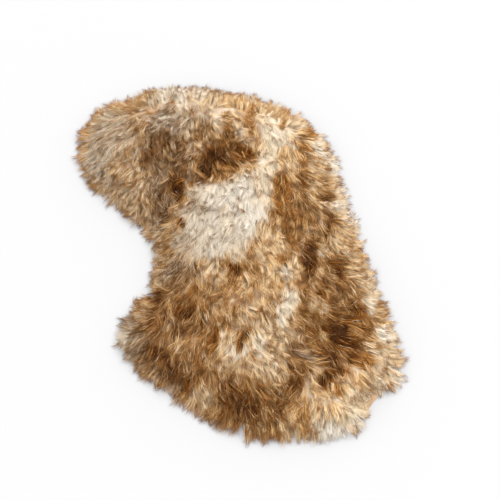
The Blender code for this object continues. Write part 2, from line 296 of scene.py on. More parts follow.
# The wool's colouring, read off the photograph. Each patch is a soft oval there: its middle, half
# width and half height in pixels of the 500 x 500 picture, its turn in degrees, then in hundredths
# its tone, its warmth, the share of its locks with dark tips, and how tousled it is. Tone 0 is
# cream, 50 tan and 100 nearly black. Warmth 0 is ash and 100 is amber. Later patches are painted
# over earlier ones.
# Some tones are partly painted light and shade: the neck, the heart's lower left, the hind side and
# the creases are darker with painted shade, the crown and the left edge are ashier with painted
# shade, and patches along the rim are paler with painted backlight.
patches = {
    "foreleg": (98, 135, 34, 48, 20, 34, 0, 10, 20),
    "forelegGold": (122, 99, 34, 6, 10, 58, 90, 50, 40),
    "forelegTip": (89, 118, 6, 18, -35, 62, 100, 50, 40),
    "forelegRim": (79, 150, 5, 26, -4, 62, 80, 50, 40),
    "forelegFoot": (87, 184, 6, 16, 25, 64, 60, 50, 40),
    "hiddenShoulder": (130, 180, 24, 34, 0, 40, 30, 45, 50),
    "hiddenWaist": (148, 235, 18, 30, 0, 46, 30, 45, 50),
    "crown": (196, 112, 56, 28, 0, 27, 10, 85, 25),
    # the neck is darker partly with painted shade of a fold
    "neck": (168, 160, 24, 44, 0, 58, 20, 60, 40),
    "shoulder": (232, 130, 34, 30, 0, 10, 50, 75, 30),
    "ridge": (300, 160, 22, 50, 12, 26, 60, 45, 30),
    "side": (335, 230, 32, 60, 14, 40, 40, 55, 70),
    "middle": (262, 270, 40, 42, 0, 31, 80, 40, 40),
    "flank": (190, 300, 44, 28, 0, 56, 50, 50, 40),
    "thigh": (175, 355, 46, 36, -20, 72, 30, 50, 40),
    "lowerBack": (270, 350, 60, 36, 0, 27, 40, 50, 50),
    "haunch": (350, 330, 52, 36, -20, 72, 60, 50, 60),
    "tail": (250, 412, 52, 30, 0, 70, 60, 55, 60),
    "rump": (350, 396, 48, 34, 10, 24, 80, 45, 40),
    "lowerHaunch": (385, 370, 22, 34, 0, 22, 60, 45, 40),
    "heart": (226, 214, 46, 40, 25, 10, 10, 9, 25),
    "creamStreak": (270, 147, 15, 42, -12, 4, 75, 20, 20),
    "crownCream": (178, 97, 22, 12, 0, 13, 10, 60, 30),
    "crownPale": (208, 100, 24, 12, 0, 24, 30, 80, 30),
    "crownEdge": (236, 101, 14, 6, -15, 40, 90, 60, 30),
    "crownDusk": (150, 106, 10, 12, 0, 42, 0, 40, 40),
    "neckTop": (171, 104, 6, 9, 0, 54, 0, 90, 40),
    "crownAsh": (166, 122, 15, 12, 0, 27, 0, 80, 40),
    "crownLower": (189, 126, 12, 9, 0, 30, 20, 80, 30),
    "crownSpot": (192, 110, 5, 5, 0, 42, 20, 90, 40),
    "crownOlive": (201, 121, 8, 5, 0, 46, 20, 60, 40),
    "crownMark": (227, 122, 5, 9, 0, 58, 50, 70, 30),
    "crownGold": (243, 112, 10, 14, 0, 34, 80, 60, 30),
    # the neck's patches are darker partly with painted shade of a fold down its left side
    "neckBrown": (165, 139, 7, 12, 0, 75, 20, 45, 50),
    "neckEdge": (150, 150, 6, 16, 0, 81, 20, 40, 50),
    "neckPink": (157, 180, 7, 16, 0, 52, 0, 45, 40),
    "neckTan": (193, 150, 12, 18, 0, 38, 30, 65, 40),
    "neckDusk": (180, 165, 9, 14, 0, 62, 20, 45, 50),
    "neckFoot": (160, 205, 8, 18, 0, 68, 0, 45, 50),
    "shoulderTan": (205, 134, 13, 8, 0, 54, 40, 60, 40),
    "shoulderBrown": (229, 139, 9, 11, 0, 64, 50, 55, 40),
    "whorlCloud": (226, 156, 30, 15, 8, 70, 60, 40, 60),
    "whorl": (215, 154, 11, 10, 0, 100, 40, 25, 60),
    "whorlLeft": (207, 167, 11, 8, 30, 92, 20, 30, 60),
    "whorlRight": (241, 152, 13, 7, 5, 90, 80, 35, 60),
    "whorlBlue": (228, 156, 6, 5, 0, 72, 10, 40, 60),
    "whorlFoot": (230, 164, 8, 5, 0, 82, 70, 40, 50),
    "whorlHem": (224, 174, 14, 5, 8, 56, 80, 45, 40),
    "whorlOut": (246, 168, 9, 7, 0, 42, 70, 50, 30),
    "goldLock": (252, 124, 6, 15, 0, 56, 90, 60, 30),
    "goldBeside": (259, 137, 6, 13, 0, 30, 90, 50, 30),
    "ridgeTan": (283, 111, 16, 5, -12, 52, 70, 55, 40),
    "ridgeCream": (284, 133, 10, 12, 0, 8, 30, 45, 30),
    "ridgeMark": (283, 124, 3, 6, 0, 68, 40, 60, 40),
    "ridgeBrown": (305, 150, 10, 20, 0, 47, 80, 40, 40),
    "ridgeDark": (304, 181, 7, 14, 0, 68, 50, 35, 40),
    "ridgeGold": (287, 156, 9, 9, 20, 32, 90, 40, 30),
    "ridgeRed": (313, 131, 7, 5, -20, 66, 90, 50, 40),
    # ridgePeach, edgePale, edgePeach and sidePale lie along the rim and are paler partly with
    # painted backlight
    "ridgePeach": (319, 148, 8, 14, 0, 0, 40, 32, 50),
    "ridgeGrain": (317, 168, 7, 12, 0, 36, 40, 55, 50),
    "edgePale": (332, 166, 9, 17, 20, 0, 30, 30, 50),
    "edgeSpot": (325, 164, 4, 6, 0, 50, 50, 60, 50),
    "sideTan": (316, 190, 9, 16, 0, 38, 60, 40, 40),
    "sideSpot": (328, 181, 6, 7, 0, 62, 60, 50, 60),
    "sideDark": (327, 195, 8, 6, 0, 88, 40, 50, 80),
    "edgePeach": (341, 184, 8, 10, 0, 10, 70, 50, 60),
    "sidePale": (336, 205, 9, 7, 0, 0, 30, 40, 70),
    "edgeCream": (350, 214, 9, 14, 15, 8, 50, 55, 70),
    "amber": (284, 189, 11, 17, -10, 62, 100, 25, 20),
    "amberLow": (277, 206, 7, 12, 0, 62, 100, 25, 20),
    "brownBand": (293, 222, 12, 26, -8, 63, 70, 30, 20),
    "brownBeside": (306, 208, 9, 14, 0, 66, 50, 35, 30),
    "goldBand": (264, 222, 9, 16, 0, 66, 100, 35, 20),
    "goldPale": (268, 245, 14, 14, 0, 20, 80, 35, 30),
    "heartMiddle": (232, 208, 34, 24, 25, 5, 10, 8, 20),
    "heartWhite": (248, 208, 18, 26, 15, 0, 10, 6, 20),
    "heartLow": (212, 236, 30, 18, 15, 12, 0, 10, 15),
    # heartLeft, like heartShade, is greyer partly with painted shade on the heart's lower left
    "heartLeft": (186, 246, 12, 16, 0, 28, 0, 25, 30),
    "heartTop": (262, 190, 9, 18, 0, 10, 40, 30, 20),
    "heartShade": (196, 205, 12, 10, 0, 20, 10, 35, 30),
    "heartTan": (183, 200, 9, 8, 0, 44, 40, 40, 40),
    "heartHem": (254, 246, 5, 12, -35, 46, 70, 40, 30),
    "speckOne": (257, 192, 4, 4, 0, 16, 40, 100, 30),
    "speckTwo": (236, 206, 3, 3, 0, 22, 30, 100, 30),
    "speckThree": (225, 228, 3, 3, 0, 16, 20, 100, 30),
    "speckFour": (206, 243, 3, 3, 0, 34, 20, 100, 30),
    "speckFive": (224, 211, 3, 3, 0, 28, 10, 100, 30),
    # the creases are dark partly from the wool's brown and partly with painted shade of folds
    "crease": (177, 187, 6, 17, 18, 100, 50, 25, 50),
    "creaseFoot": (181, 223, 5, 5, 0, 100, 20, 40, 50),
    "creaseTop": (200, 179, 9, 4, 10, 92, 30, 40, 50),
    "mottleOne": (332, 217, 8, 7, 0, 80, 50, 50, 90),
    "mottleTwo": (326, 231, 4, 10, 0, 100, 30, 50, 90),
    "mottleThree": (311, 220, 5, 6, 0, 74, 50, 50, 80),
    "mottleFour": (315, 241, 6, 9, 0, 85, 70, 50, 90),
    "mottleTan": (320, 226, 5, 9, 0, 46, 40, 50, 80),
    "mottlePale": (323, 250, 5, 7, 0, 32, 50, 50, 90),
    "goldSide": (348, 238, 11, 13, 10, 27, 70, 55, 80),
    "edgeGold": (361, 250, 9, 22, 12, 34, 70, 60, 70),
    # this crease is dark partly from the wool's brown and partly with painted shade of a fold
    "sideCrease": (308, 257, 7, 15, 8, 98, 30, 30, 90),
    "sideCreaseTop": (300, 246, 5, 7, 0, 58, 30, 40, 70),
    "creaseBrown": (305, 286, 7, 16, 0, 62, 50, 40, 60),
    "mottleRed": (325, 264, 6, 7, 0, 68, 90, 50, 90),
    "mottleFive": (338, 262, 11, 7, 0, 75, 50, 50, 90),
    "mottleSix": (339, 273, 5, 7, 0, 96, 60, 40, 90),
    "mottleSeven": (341, 285, 8, 8, 0, 74, 50, 50, 80),
    "mottleLilac": (330, 280, 6, 12, -10, 50, 30, 50, 90),
    "mottleEight": (324, 283, 5, 6, 0, 72, 60, 50, 90),
    "mottleNine": (322, 296, 6, 8, 0, 100, 60, 50, 90),
    "sideTawny": (355, 275, 9, 16, 0, 42, 60, 50, 70),
    # edgeTawny and edgeFlax lie along the rim and are paler partly with painted backlight
    "edgeTawny": (369, 284, 8, 16, 12, 20, 60, 55, 60),
    "edgeFlax": (371, 304, 7, 9, 0, 2, 50, 45, 50),
    "sideBrown": (344, 302, 10, 11, 0, 66, 40, 45, 70),
    "haunchPale": (320, 304, 8, 8, 0, 32, 50, 50, 80),
    "haunchStripe": (318, 318, 6, 9, 30, 72, 60, 45, 80),
    "haunchStripeTwo": (303, 316, 5, 9, 25, 70, 50, 45, 80),
    "bellyBrown": (232, 268, 13, 7, 0, 100, 80, 40, 50),
    "bellyStem": (233, 279, 5, 9, 0, 92, 70, 40, 40),
    "bellyTan": (250, 265, 9, 8, 0, 58, 60, 40, 40),
    "bellyAmber": (285, 257, 6, 5, 0, 55, 100, 40, 40),
    "bellyPale": (283, 272, 8, 7, 0, 0, 50, 25, 40),
    "bellyGold": (264, 288, 17, 14, 0, 32, 90, 35, 30),
    "bellyMark": (275, 298, 5, 8, -30, 38, 70, 40, 40),
    "flankGold": (213, 273, 16, 8, 0, 22, 70, 40, 40),
    "flankAsh": (178, 270, 16, 12, 0, 56, 0, 40, 40),
    "flankHoney": (225, 292, 14, 12, 0, 42, 80, 40, 40),
    "flankRed": (186, 298, 15, 8, 0, 62, 70, 40, 40),
    "flankDark": (189, 311, 13, 8, -15, 88, 60, 35, 50),
    "flankTop": (156, 297, 9, 6, 10, 100, 30, 40, 50),
    "flankOlive": (155, 318, 10, 14, 0, 80, 50, 45, 40),
    "flankPale": (215, 309, 8, 12, 0, 44, 60, 40, 40),
    "flankBrown": (226, 325, 7, 7, 0, 60, 60, 40, 40),
    "streak": (288, 303, 8, 18, -22, 0, 40, 20, 40),
    "streakFoot": (281, 318, 7, 8, 0, 0, 40, 22, 40),
    # the hind side's patches are darker and greyer partly with painted shade on that side
    "hindAsh": (124, 336, 22, 26, 20, 64, 0, 35, 30),
    "hindPale": (118, 336, 7, 20, 20, 26, 0, 25, 30),
    "hindGrey": (126, 357, 10, 8, 0, 52, 10, 35, 30),
    "thighDark": (154, 352, 12, 7, 0, 91, 40, 35, 50),
    "thighDot": (163, 357, 5, 5, 0, 90, 50, 35, 50),
    "thighFlax": (166, 333, 6, 12, 0, 50, 40, 45, 40),
    "thighGold": (186, 346, 16, 10, 0, 46, 60, 40, 40),
    "thighLow": (172, 373, 9, 11, 0, 100, 30, 35, 50),
    "thighLock": (187, 371, 4, 9, -20, 48, 20, 40, 40),
    "thighLast": (185, 387, 7, 10, 0, 100, 80, 35, 50),
    "thighGrey": (177, 391, 5, 10, 0, 80, 20, 40, 40),
    "bandBrown": (213, 341, 5, 13, 0, 84, 80, 35, 50),
    "bandRed": (200, 366, 8, 10, 0, 72, 60, 40, 50),
    "spotPale": (226, 341, 9, 10, 0, 20, 80, 35, 40),
    "spotPaleLow": (239, 352, 9, 9, 0, 6, 50, 35, 40),
    "spotBrown": (243, 338, 6, 14, -30, 84, 70, 40, 50),
    "backPale": (259, 345, 7, 10, 0, 6, 50, 40, 40),
    "lowPeach": (212, 360, 8, 7, 0, 42, 60, 40, 40),
    "lowFlax": (206, 396, 15, 12, 0, 34, 30, 45, 40),
    "lowGrey": (213, 418, 13, 9, 0, 70, 40, 45, 40),
    "backDark": (298, 350, 10, 9, -20, 68, 10, 40, 70),
    "backTan": (276, 366, 14, 10, 0, 24, 40, 45, 60),
    "backBrown": (300, 368, 10, 9, 0, 85, 40, 40, 70),
    "backMark": (296, 385, 7, 7, 0, 90, 40, 40, 60),
    "backLow": (276, 394, 12, 6, 0, 68, 20, 40, 60),
    "tailTop": (230, 386, 7, 11, 0, 86, 40, 40, 50),
    "tailDark": (240, 412, 20, 18, 0, 88, 40, 40, 50),
    "tailMiddle": (270, 414, 10, 9, 0, 72, 40, 45, 60),
    "tailAmber": (302, 416, 10, 14, 0, 46, 90, 50, 50),
    "tailTan": (287, 422, 8, 12, 0, 44, 60, 50, 50),
    "tailEdge": (278, 441, 20, 5, 0, 56, 80, 55, 50),
    "tailHem": (208, 432, 12, 5, 0, 60, 80, 50, 50),
    "haunchDark": (337, 334, 15, 12, -20, 100, 40, 25, 60),
    "haunchNight": (340, 329, 9, 8, 0, 100, 30, 20, 60),
    "haunchRed": (353, 343, 10, 7, -20, 98, 70, 30, 60),
    "haunchEye": (355, 358, 5, 6, 0, 100, 60, 20, 60),
    "haunchBrown": (331, 360, 7, 8, 0, 94, 40, 30, 60),
    "haunchFoot": (325, 377, 6, 9, 0, 94, 40, 35, 60),
    "haunchLow": (342, 371, 8, 6, 0, 80, 70, 40, 60),
    "haunchTawny": (324, 336, 5, 6, 0, 34, 50, 45, 60),
    "haunchRust": (362, 328, 8, 12, 0, 64, 80, 40, 50),
    "haunchEdge": (378, 322, 9, 8, 0, 63, 60, 50, 50),
    # haunchCream and rumpPeach lie along the rim and are paler partly with painted backlight
    "haunchCream": (386, 335, 10, 11, 0, 0, 20, 22, 40),
    "haunchAmber": (366, 360, 9, 10, 0, 66, 100, 40, 40),
    "rumpPeach": (393, 360, 9, 18, 0, 26, 60, 45, 40),
    "rumpAmber": (340, 388, 11, 6, 0, 51, 90, 40, 40),
    "rumpGold": (357, 380, 13, 8, 0, 32, 80, 40, 40),
    "rumpPale": (356, 401, 18, 8, 8, 0, 90, 22, 40),
    "rumpFlax": (328, 408, 12, 8, 0, 30, 90, 40, 40),
    "tailCream": (333, 430, 17, 11, 0, 0, 10, 12, 40),
    # tailCreamEdge lies along the rim and is paler partly with painted backlight
    "tailCreamEdge": (358, 420, 8, 11, 0, 0, 40, 22, 50),
    "tailSpeck": (350, 431, 5, 4, 0, 36, 50, 60, 50),
}
patchShares = 100  # parts that make a whole tone, warmth or share in a patch
tones = {
    "ground": (0.46, 0.5, 0.45, 0.5),  # tone, warmth, dark tips and tousling between the patches
    "softness": (0.62, 1.42),  # where a patch starts to fade and where it ends, in half widths
    "shownInsets": (-0.05, 0.0, 0.05),  # the height of the wool that shows the colouring, from
    "shownHeights": (0.004, 0.024, 0.050),  # past the hide's edge to well inside it
    "warp": 0.009,  # how raggedly the patches end
    "mottle": 0.12,
    "sleekMottle": 0.4,  # how strong the mottling is where the wool is sleek
    "mottleFrom": (0.05, 0.45),  # the tones over which it sets in
    "speckle": 0.10,
    "lockSpread": 0.055,
    "strandSpread": 0.125,
    "spreadFrom": (-0.1, 0.4),  # the tones over which that unevenness sets in
    "darkSpread": (0.75, 1.35),  # and how much of it shows, from cream to darkest
    "warmthSpread": 0.12,  # from strand to strand
    "darkWarmth": (0.4, 1.6),  # and how much of that shows, from cream to darkest
    "paleStrands": 0.06,  # share of the strands that are paler than their lock
    "palerTone": 0.55,  # and the share of its tone that they have
    "streak": 0.13,  # unevenness drawn out along the wool's lie
    "streakLength": 0.040,
    "streakSteps": 7,
    "byPlace": 0.65,  # how much of its colour a stretch of a strand takes from where it lies
    "tipped": (0.86, 1.0),  # how far along the colouring a dark-tipped lock goes
    "untipped": (0.36, 0.58),
    "reached": (0.92, 1.0),  # and how far along that its strands go
    # the rim is paler, partly the wool's own paleness there and partly painted backlight
    "rimPalenessAndBacklight": 0.25,
    "paledFrom": (0.03, -0.005),  # the insets over which it sets in
}


def photoPixels(points, inset):
    # Where spots of the wool's top show in the photograph, for the camera that is set below
    ahead = cameraAhead()
    right = np.array((*facing(math.radians(studio["cameraTurn"])), 0.0))
    eye = np.array(studio["aim"]) - ahead * studio["distance"]
    height = np.interp(inset, tones["shownInsets"], tones["shownHeights"])
    away = np.column_stack((points, height)) - eye
    scale = studio["photoWidth"] * studio["lens"] / studio["filmWidth"] / (away @ ahead)
    middle = studio["photoWidth"] / 2
    across = middle + scale * (away @ right)
    down = middle - scale * (away @ np.cross(right, ahead))
    return np.stack((across, down), axis=1)


def colouringAt(points, inset):
    # Tone, warmth, share of dark tips and tousling at points of the plan
    ragged = np.stack((ripple(points, "raggedAcross"), ripple(points, "raggedAlong")), axis=1)
    spots = photoPixels(points + tones["warp"] * ragged, inset)
    colouring = np.tile(tones["ground"], (len(points), 1))
    for middleX, middleY, halfWidth, halfHeight, turn, *wanted in patches.values():
        away = spots - (middleX, middleY)
        cosine, sine = math.cos(math.radians(turn)), math.sin(math.radians(turn))
        across = (away[:, 0] * cosine - away[:, 1] * sine) / halfWidth
        along = (away[:, 1] * cosine + away[:, 0] * sine) / halfHeight
        cover = smooth(*reversed(tones["softness"]), np.hypot(across, along))
        colouring = between(colouring, np.array(wanted) / patchShares, cover[:, None])
    tone, warmth, tipped, tousled = colouring.T
    # Mottling, weaker where the wool is cream or sleek
    uneven = tones["mottle"] * ripple(points, "mottle") * (tones["sleekMottle"] + tousled)
    uneven += tones["speckle"] * ripple(points, "speckle")
    tone = tone + uneven * smooth(*tones["mottleFrom"], tone)
    # Paler towards the rim: partly the wool's own paleness, partly painted backlight.
    tone *= 1 - tones["rimPalenessAndBacklight"] * smooth(*tones["paledFrom"], inset)
    return tone, warmth, tipped, tousled


def streaks(points, heading):
    # Soft noise drawn out along each point's heading
    along = facing(heading)
    shifts = np.linspace(-0.5, 0.5, tones["streakSteps"]) * tones["streakLength"]
    total = sum(ripple(points + along * shift, "streak") for shift in shifts)
    return total / math.sqrt(len(shifts))


# Felted underwool: a closed mass at part of the pile's height, which the strands hide
underwool = {
    "step": 0.0080,
    "jitter": 0.0012,
    "margin": 0.6,  # how far in its first points are, in steps
    "heights": (0.72, 0.77),  # share of the wool's cover, brown and cream
    "paleFrom": (0.35, 0.05),  # the tones between those two
    "riseOver": (-0.004, 0.05),  # the insets over which it rises from its rim
    "foot": 0.0024,  # its underside, just over the hide
    "rimHeights": (0.009, 0.0045),  # the second at the bare stretch
    "lumps": 0.0018,
}


def underwoolTop(points):
    inset, _, stretch = insetFrom(woolRing, points)
    rise = smooth(*underwool["riseOver"], inset)
    low = between(*underwool["rimHeights"], bareShare[stretch])
    pale = smooth(*underwool["paleFrom"], colouringAt(points, inset)[0])
    return between(low, between(*underwool["heights"], pale) * woolCover(points), rise)


def makeUnderwool():
    spots = lattice(underwool["step"], underwool["jitter"])
    inset, _, _ = insetFrom(woolRing, spots)
    spots = spots[inset > underwool["step"] * underwool["margin"]]
    flat = np.concatenate((woolRing, spots))
    ringCount = len(woolRing)
    triangles = geometry.delaunay_2d_cdt(
        [Vector(point) for point in flat], [], [list(range(ringCount))], 1, tiny
    )[2]
    lumps = underwool["lumps"] * ripple(flat, "felt")
    lumps[:ringCount] = 0.0
    topPoints = np.column_stack((flat, underwoolTop(flat) + lumps))
    footPoints = np.column_stack((woolRing, np.full(ringCount, underwool["foot"])))
    faces = [tuple(triangle) for triangle in triangles]
    first = len(flat)
    for i in range(ringCount):
        k = (i + 1) % ringCount
        faces.append((first + i, first + k, k, i))
    faces.append(tuple(first + i for i in reversed(range(ringCount))))
    mesh = bpy.data.meshes.new("underwool")
    mesh.from_pydata(np.concatenate((topPoints, footPoints)).tolist(), [], faces)
    mesh.shade_smooth()
    plan = np.concatenate((flat, woolRing))
    tone = colouringAt(plan, insetFrom(woolRing, plan)[0])[0]
    mesh.attributes.new("tone", "FLOAT", "POINT").data.foreach_set("value", tone.astype(np.float32))
    return bpy.data.objects.new("underwool", mesh)


# Strands of wool, gathered in pointed locks
shadeMargin = 0.06
woolShades = {
    # the colours at the root, middle and tip, each from the palest tone to the darkest
    # at the palest tones the roots are darker than the middles, partly duller wool near the skin
    # and partly painted shade deep in the pile
    "ash": {
        "root": (
            (0.72, 0.64, 0.52), (0.57, 0.46, 0.325), (0.37, 0.24, 0.135),
            (0.175, 0.082, 0.031), (0.050, 0.017, 0.0045),
        ),
        "middle": (
            (0.80, 0.74, 0.65), (0.57, 0.465, 0.335), (0.32, 0.20, 0.108),
            (0.15, 0.066, 0.0225), (0.047, 0.0145, 0.003),
        ),
        "tip": ((0.20, 0.080, 0.022), (0.13, 0.060, 0.020), (0.024, 0.009, 0.0024)),
    },
    "tan": {
        "root": (
            (0.75, 0.65, 0.49), (0.64, 0.47, 0.28), (0.445, 0.26, 0.10),
            (0.22, 0.09, 0.028), (0.056, 0.018, 0.004),
        ),
        "middle": (
            (0.78, 0.70, 0.575), (0.66, 0.475, 0.265), (0.40, 0.212, 0.073),
            (0.18, 0.062, 0.0135), (0.052, 0.0135, 0.0018),
        ),
        "tip": ((0.23, 0.095, 0.024), (0.24, 0.105, 0.032), (0.026, 0.008, 0.0022)),
    },
    "amber": {
        "root": (
            (0.75, 0.62, 0.42), (0.67, 0.46, 0.23), (0.50, 0.265, 0.075),
            (0.27, 0.10, 0.022), (0.072, 0.020, 0.003),
        ),
        "middle": (
            (0.80, 0.69, 0.50), (0.69, 0.47, 0.235), (0.44, 0.21, 0.053),
            (0.245, 0.072, 0.009), (0.066, 0.0145, 0.0018),
        ),
        "tip": ((0.28, 0.110, 0.028), (0.30, 0.120, 0.028), (0.034, 0.010, 0.0022)),
    },
}
wool = {
    "lockStep": 0.0120,
    "lockJitter": 0.38,  # in steps
    "lockMargin": 0.004,
    "strandsPerLock": 11,
    "rimStep": 0.0085,  # between the extra locks that hang over the hide's edge
    "rimInsets": (0.001, 0.007, 0.014),
    "rimReach": 0.05,  # how far in the locks are made to suit the rim
    "rimLength": 0.78,
    "rimLean": 0.15,  # shares of the lean, the gathering and the rise that are left there
    "rimGather": 0.65,
    "rimRise": 0.38,
    "rimFall": -26.0,  # how steeply the tips fall there, in degrees
    "rimRoot": 0.0045,  # the height of the roots that stand past the wool's edge
    "bareReach": 0.065,
    "bareLength": 0.40,
    "tuftStep": 0.026,  # locks lean together in tufts about this far apart
    "tuftJitter": 0.36,
    "tuftMargin": 0.002,
    "tuftLean": 0.55,  # how far a lock's tip moves to the middle of its tuft
    "leanCurve": 1.2,
    "tuftDip": 0.22,  # how much lower the wool is between the tufts
    "dipReach": 1.2,
    "dipFrom": (0.1, 0.5),  # the tones over which that sets in
    "paleDip": 0.15,  # and the share of it where the wool is cream
    "length": 0.062,
    "lengthSpread": 0.112,
    "lengthWander": 0.12,
    "lengths": (0.036, 0.080),
    "tippedLength": 1.10,
    "strandReach": (0.72, 1.06),  # how far along its lock a strand goes
    "tippedReach": (0.88, 1.05),
    "lockRadius": 0.0080,
    "gather": 0.76,  # how far a lock's strands close up at its tip
    "gatherSpread": (0.8, 1.08),
    "gatherCurve": 1.1,
    "tippedGather": 0.95,
    "tippedCurve": 0.6,
    "tippedHeight": 0.010,  # how far a dark tip stands past the wool's cover
    "otherHeight": 0.002,
    "tippedRise": 5.0,
    "loose": 0.12,  # share of the strands that stray from their lock
    "looseGather": 0.35,
    "radius": 0.00052,
    "radiusSpread": (0.75, 1.25),
    "rootSink": 0.004,
    "broadSwirl": 43.4,  # degrees that the lie wanders over a palm's width
    "fineSwirl": 24.8,
    "swirlShare": (0.35, 1.1),  # how much of that shows, sleek and tousled
    "rimSwirl": 0.4,  # and at the edge
    "tuftRuffle": 15.0,  # degrees from tuft to tuft, and from lock to lock
    "lockRuffle": 7.5,
    "ruffleShare": (0.5, 1.0),
    "rootRise": (38.0, 14.0, 6.0),  # degrees over level, how far that wanders, and its spread
    "tipRise": (-4.0, 18.0, 9.0),
    "riseCurve": 0.8,
    "edgeTurn": 0.026,  # how far in from its edge the fleece starts to turn outward
    "edgeWander": 0.010,
    "farSwing": (1.0, 2.8),  # the swing, in radians, over which it starts further in
    "farTurn": 2.8,
    "opposed": (1.5, 2.5),  # the swing at the edge, in radians, that counts as right about
    "partingRise": 8.0,  # how much steeper it stands where it turns right about
    "partingStray": 0.5,  # and how far its headings scatter there
    "bend": 30.0,  # degrees that a lock curves sideways
    "bendShare": (0.5, 1.3),
    "hook": 38.0,  # degrees that a lock's tip curves further
    "hookFrom": 0.6,
    "shownAt": 0.62,  # how far along itself a lock lies where it is seen
    "curl": (0.0010, 0.0024),  # how far it waves, sleek and tousled
    "curlSpread": 0.5,
    "bobPhase": 1.3,
    "waves": (0.7, 1.5),
    "stray": 0.07,  # radians from strand to strand
    "alongRings": (0.0, 0.36, 0.70, 1.0),
    "stepsPerRing": 5,
    "filling": (0.88, 1.0),  # how much of the wool's cover the strands fill
    "leastClimb": 0.004,
    "climbFit": (0.25, 1.35),
    "hideMargin": -0.002,
    "overHide": 0.0034,  # the least height of a strand over the hide, and past its edge
    "overFloor": 0.0012,
    "leastRoom": 0.001,
    "lowest": 0.0004,
    "sides": 3,
    "taperAt": (0.0, 0.5, 0.8, 1.0),
    "taper": (0.9, 1.0, 0.80, 0.0),
    "mapMargin": 0.02,
}


def lockRoots():
    # Where each lock stands
    spots = lattice(wool["lockStep"], wool["lockStep"] * wool["lockJitter"])
    spots = spots[insetFrom(woolRing, spots)[0] > wool["lockMargin"]]
    # Rows along the edge itself
    steps = np.linalg.norm(np.roll(woolRing, -1, axis=0) - woolRing, axis=1)
    travelled = np.concatenate(([0.0], np.cumsum(steps)))
    closed = np.concatenate((woolRing, woolRing[:1]))
    count = int(travelled[-1] / wool["rimStep"])
    for depth in wool["rimInsets"]:
        places = (np.arange(count) + dice.uniform(0, 1, count)) * travelled[-1] / count
        ring = np.stack([np.interp(places, travelled, closed[:, axis]) for axis in (0, 1)], axis=1)
        away = insetFrom(woolRing, ring)[1]
        spots = np.concatenate((spots, ring - away * depth))
    return spots


def tuftOf(spots):
    # The middle of the tuft that each lock leans into, and the tuft's number
    middles = lattice(wool["tuftStep"], wool["tuftStep"] * wool["tuftJitter"])
    middles = middles[insetFrom(woolRing, middles)[0] > wool["tuftMargin"]]
    tree = KDTree(len(middles))
    for index, middle in enumerate(middles):
        tree.insert((*middle, 0.0), index)
    tree.balance()
    number = np.array([tree.find((*spot, 0.0))[1] for spot in spots])
    return middles[number], number


def lockHeadings(spots, inset, outward, tousled, tuft):
    # Each lock's heading in the plan, as an angle that swings round to straight out at the edge
    lie = lieOfWool(spots, inset)
    heading = np.arctan2(lie[:, 1], lie[:, 0])
    swing = np.arctan2(outward[:, 1], outward[:, 0]) - heading
    swing = (swing + math.pi) % (2 * math.pi) - math.pi
    turnOver = wool["edgeTurn"] * (1 + wool["farTurn"] * smooth(*wool["farSwing"], np.abs(swing)))
    edge = smooth(1.0, 0.0, (inset + wool["edgeWander"] * ripple(spots, "edgeTurn")) / turnOver)
    # Where out is nearly the opposite way, each lock takes one way or the other
    oneWay = (dice.uniform(0, 1, len(spots)) < edge) - edge
    heading += swing * (edge + oneWay * smooth(*wool["opposed"], np.abs(swing)))
    parting = np.abs(swing) / math.pi * 4 * edge * (1 - edge)
    heading += parting * dice.normal(0, wool["partingStray"], len(spots))
    swirl = sum(wool[name] * ripple(spots, name) for name in ("broadSwirl", "fineSwirl"))
    swirl *= between(1.0, wool["rimSwirl"], edge) * between(*wool["swirlShare"], tousled)
    ruffle = dice.normal(0, wool["tuftRuffle"], tuft.max() + 1)[tuft]
    ruffle += dice.normal(0, wool["lockRuffle"], len(spots))
    ruffle *= between(*wool["ruffleShare"], tousled)
    return heading + np.radians(swirl + ruffle), parting


def placeOnMap(tone, warmth):
    # Where a strand lies across its colour map, whose shades stand side by side, each from its
    # palest tone to its darkest
    shades = len(woolShades)
    shade = np.clip(np.round(warmth * (shades - 1)), 0, shades - 1)[:, None]
    return (shade + between(shadeMargin, 1 - shadeMargin, tone)) / shades


def riseOf(spots, name):
    # How steeply each lock stands, at its root or its tip
    level, wander, spread = wool[name]
    return level + wander * ripple(spots, name) + dice.normal(0, spread, len(spots))


